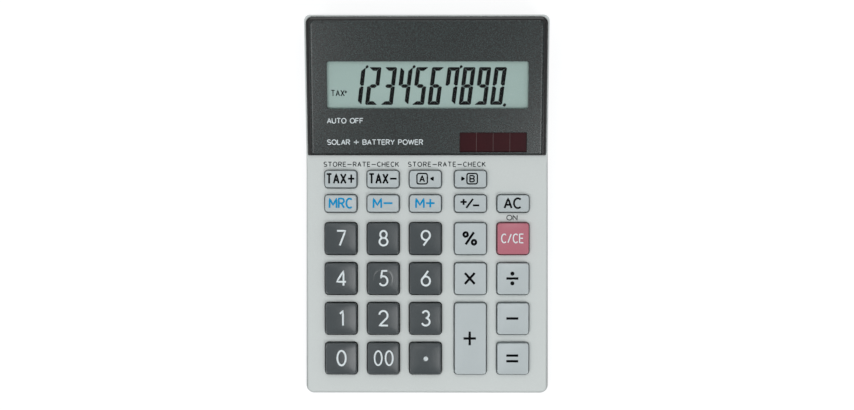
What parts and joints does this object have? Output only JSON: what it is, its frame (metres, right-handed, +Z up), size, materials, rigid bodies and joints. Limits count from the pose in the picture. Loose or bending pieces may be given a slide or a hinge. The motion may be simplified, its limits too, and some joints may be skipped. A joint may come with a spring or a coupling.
{
  "type": "desktop calculator",
  "caption": "Wedge-shaped desktop calculator with a raised display panel, a solar window and sprung keys in a light two-part case on rubber feet.",
  "frame": {"origin": "centre of the bounding box at table level, between the feet", "axes": "+X to the user's right, +Y to the rear (the display's end), +Z up from the table"},
  "size_m": [0.1082, 0.1676, 0.0284],
  "materials": {
    "front_shell": "satin silver-grey, fine texture",
    "rear_shell": "satin silver-grey",
    "bezel_black": "polished black",
    "face_panel": "dark speckled, satin",
    "clear_lens": "clear, polished",
    "lcd_glass": "grey-green polariser",
    "white_plastic": "plain white",
    "ribbon_film": "printed film",
    "solar_glass": "dark red-brown, polished",
    "wire_red": "insulated wire",
    "wire_black": "insulated wire",
    "mat_rubber": "silicone, matt",
    "board_green": "solder mask",
    "resin_black": "cast resin",
    "capacitor_sleeve": "printed sleeve",
    "cell_steel": "nickel plated",
    "screw_steel": "zinc plated",
    "foot_rubber": "matt",
    "key_dark": "satin dark grey",
    "key_light": "satin light grey",
    "key_clear": "satin pink"
  },
  "bodies": {
    "case": {"front_case": "front_shell", "rear_case": "rear_shell", "battery_cover": "rear_shell", "display_bezel": "bezel_black", "face_plate": "face_panel", "lcd_window": "clear_lens", "lcd_glass": "lcd_glass", "lcd_holder": "white_plastic", "lcd_ribbon": "ribbon_film", "solar_cell": "solar_glass", "solar_lead_red": "wire_red", "solar_lead_black": "wire_black", "keypad_mat": "mat_rubber", "main_pcb": "board_green", "chip_blob": "resin_black", "capacitor": "capacitor_sleeve", "battery": "cell_steel", "contact_plus": "cell_steel", "contact_minus": "cell_steel", "cover_screw": "screw_steel", "pcb_screw_1": "screw_steel", "pcb_screw_2": "screw_steel", "case_screw_1": "screw_steel", "foot_1": "foot_rubber", "case_screw_2": "screw_steel", "foot_2": "foot_rubber", "case_screw_3": "screw_steel", "foot_3": "foot_rubber", "case_screw_4": "screw_steel", "foot_4": "foot_rubber"},
    "key_tax_plus": {"key_tax_plus": "key_light"},
    "key_tax_minus": {"key_tax_minus": "key_light"},
    "key_rate_a": {"key_rate_a": "key_light"},
    "key_rate_b": {"key_rate_b": "key_light"},
    "key_memory_recall": {"key_memory_recall": "key_light"},
    "key_memory_minus": {"key_memory_minus": "key_light"},
    "key_memory_plus": {"key_memory_plus": "key_light"},
    "key_sign": {"key_sign": "key_light"},
    "key_clear_all": {"key_clear_all": "key_light"},
    "key_7": {"key_7": "key_dark"},
    "key_8": {"key_8": "key_dark"},
    "key_9": {"key_9": "key_dark"},
    "key_percent": {"key_percent": "key_light"},
    "key_clear": {"key_clear": "key_clear"},
    "key_4": {"key_4": "key_dark"},
    "key_5": {"key_5": "key_dark"},
    "key_6": {"key_6": "key_dark"},
    "key_multiply": {"key_multiply": "key_light"},
    "key_divide": {"key_divide": "key_light"},
    "key_1": {"key_1": "key_dark"},
    "key_2": {"key_2": "key_dark"},
    "key_3": {"key_3": "key_dark"},
    "key_plus": {"key_plus": "key_light"},
    "key_minus": {"key_minus": "key_light"},
    "key_0": {"key_0": "key_dark"},
    "key_00": {"key_00": "key_dark"},
    "key_point": {"key_point": "key_dark"},
    "key_equals": {"key_equals": "key_light"}
  },
  "joints": [
    {"name": "key_tax_plus_press", "type": "slide", "parent": "case", "child": "key_tax_plus", "axis": [0, 0.0436, -0.999], "range_m": [0, 0.001], "stiffness_N_per_m": 600, "deforming": ["keypad_mat"]},
    {"name": "key_tax_minus_press", "type": "slide", "parent": "case", "child": "key_tax_minus", "axis": [0, 0.0436, -0.999], "range_m": [0, 0.001], "stiffness_N_per_m": 600, "deforming": ["keypad_mat"]},
    {"name": "key_rate_a_press", "type": "slide", "parent": "case", "child": "key_rate_a", "axis": [0, 0.0436, -0.999], "range_m": [0, 0.001], "stiffness_N_per_m": 600, "deforming": ["keypad_mat"]},
    {"name": "key_rate_b_press", "type": "slide", "parent": "case", "child": "key_rate_b", "axis": [0, 0.0436, -0.999], "range_m": [0, 0.001], "stiffness_N_per_m": 600, "deforming": ["keypad_mat"]},
    {"name": "key_memory_recall_press", "type": "slide", "parent": "case", "child": "key_memory_recall", "axis": [0, 0.0436, -0.999], "range_m": [0, 0.001], "stiffness_N_per_m": 600, "deforming": ["keypad_mat"]},
    {"name": "key_memory_minus_press", "type": "slide", "parent": "case", "child": "key_memory_minus", "axis": [0, 0.0436, -0.999], "range_m": [0, 0.001], "stiffness_N_per_m": 600, "deforming": ["keypad_mat"]},
    {"name": "key_memory_plus_press", "type": "slide", "parent": "case", "child": "key_memory_plus", "axis": [0, 0.0436, -0.999], "range_m": [0, 0.001], "stiffness_N_per_m": 600, "deforming": ["keypad_mat"]},
    {"name": "key_sign_press", "type": "slide", "parent": "case", "child": "key_sign", "axis": [0, 0.0436, -0.999], "range_m": [0, 0.001], "stiffness_N_per_m": 600, "deforming": ["keypad_mat"]},
    {"name": "key_clear_all_press", "type": "slide", "parent": "case", "child": "key_clear_all", "axis": [0, 0.0436, -0.999], "range_m": [0, 0.001], "stiffness_N_per_m": 600, "deforming": ["keypad_mat"]},
    {"name": "key_7_press", "type": "slide", "parent": "case", "child": "key_7", "axis": [0, 0.0436, -0.999], "range_m": [0, 0.001], "stiffness_N_per_m": 600, "deforming": ["keypad_mat"]},
    {"name": "key_8_press", "type": "slide", "parent": "case", "child": "key_8", "axis": [0, 0.0436, -0.999], "range_m": [0, 0.001], "stiffness_N_per_m": 600, "deforming": ["keypad_mat"]},
    {"name": "key_9_press", "type": "slide", "parent": "case", "child": "key_9", "axis": [0, 0.0436, -0.999], "range_m": [0, 0.001], "stiffness_N_per_m": 600, "deforming": ["keypad_mat"]},
    {"name": "key_percent_press", "type": "slide", "parent": "case", "child": "key_percent", "axis": [0, 0.0436, -0.999], "range_m": [0, 0.001], "stiffness_N_per_m": 600, "deforming": ["keypad_mat"]},
    {"name": "key_clear_press", "type": "slide", "parent": "case", "child": "key_clear", "axis": [0, 0.0436, -0.999], "range_m": [0, 0.001], "stiffness_N_per_m": 600, "deforming": ["keypad_mat"]},
    {"name": "key_4_press", "type": "slide", "parent": "case", "child": "key_4", "axis": [0, 0.0436, -0.999], "range_m": [0, 0.001], "stiffness_N_per_m": 600, "deforming": ["keypad_mat"]},
    {"name": "key_5_press", "type": "slide", "parent": "case", "child": "key_5", "axis": [0, 0.0436, -0.999], "range_m": [0, 0.001], "stiffness_N_per_m": 600, "deforming": ["keypad_mat"]},
    {"name": "key_6_press", "type": "slide", "parent": "case", "child": "key_6", "axis": [0, 0.0436, -0.999], "range_m": [0, 0.001], "stiffness_N_per_m": 600, "deforming": ["keypad_mat"]},
    {"name": "key_multiply_press", "type": "slide", "parent": "case", "child": "key_multiply", "axis": [0, 0.0436, -0.999], "range_m": [0, 0.001], "stiffness_N_per_m": 600, "deforming": ["keypad_mat"]},
    {"name": "key_divide_press", "type": "slide", "parent": "case", "child": "key_divide", "axis": [0, 0.0436, -0.999], "range_m": [0, 0.001], "stiffness_N_per_m": 600, "deforming": ["keypad_mat"]},
    {"name": "key_1_press", "type": "slide", "parent": "case", "child": "key_1", "axis": [0, 0.0436, -0.999], "range_m": [0, 0.001], "stiffness_N_per_m": 600, "deforming": ["keypad_mat"]},
    {"name": "key_2_press", "type": "slide", "parent": "case", "child": "key_2", "axis": [0, 0.0436, -0.999], "range_m": [0, 0.001], "stiffness_N_per_m": 600, "deforming": ["keypad_mat"]},
    {"name": "key_3_press", "type": "slide", "parent": "case", "child": "key_3", "axis": [0, 0.0436, -0.999], "range_m": [0, 0.001], "stiffness_N_per_m": 600, "deforming": ["keypad_mat"]},
    {"name": "key_plus_press", "type": "slide", "parent": "case", "child": "key_plus", "axis": [0, 0.0436, -0.999], "range_m": [0, 0.001], "stiffness_N_per_m": 600, "deforming": ["keypad_mat"]},
    {"name": "key_minus_press", "type": "slide", "parent": "case", "child": "key_minus", "axis": [0, 0.0436, -0.999], "range_m": [0, 0.001], "stiffness_N_per_m": 600, "deforming": ["keypad_mat"]},
    {"name": "key_0_press", "type": "slide", "parent": "case", "child": "key_0", "axis": [0, 0.0436, -0.999], "range_m": [0, 0.001], "stiffness_N_per_m": 600, "deforming": ["keypad_mat"]},
    {"name": "key_00_press", "type": "slide", "parent": "case", "child": "key_00", "axis": [0, 0.0436, -0.999], "range_m": [0, 0.001], "stiffness_N_per_m": 600, "deforming": ["keypad_mat"]},
    {"name": "key_point_press", "type": "slide", "parent": "case", "child": "key_point", "axis": [0, 0.0436, -0.999], "range_m": [0, 0.001], "stiffness_N_per_m": 600, "deforming": ["keypad_mat"]},
    {"name": "key_equals_press", "type": "slide", "parent": "case", "child": "key_equals", "axis": [0, 0.0436, -0.999], "range_m": [0, 0.001], "stiffness_N_per_m": 600, "deforming": ["keypad_mat"]}
  ]
}
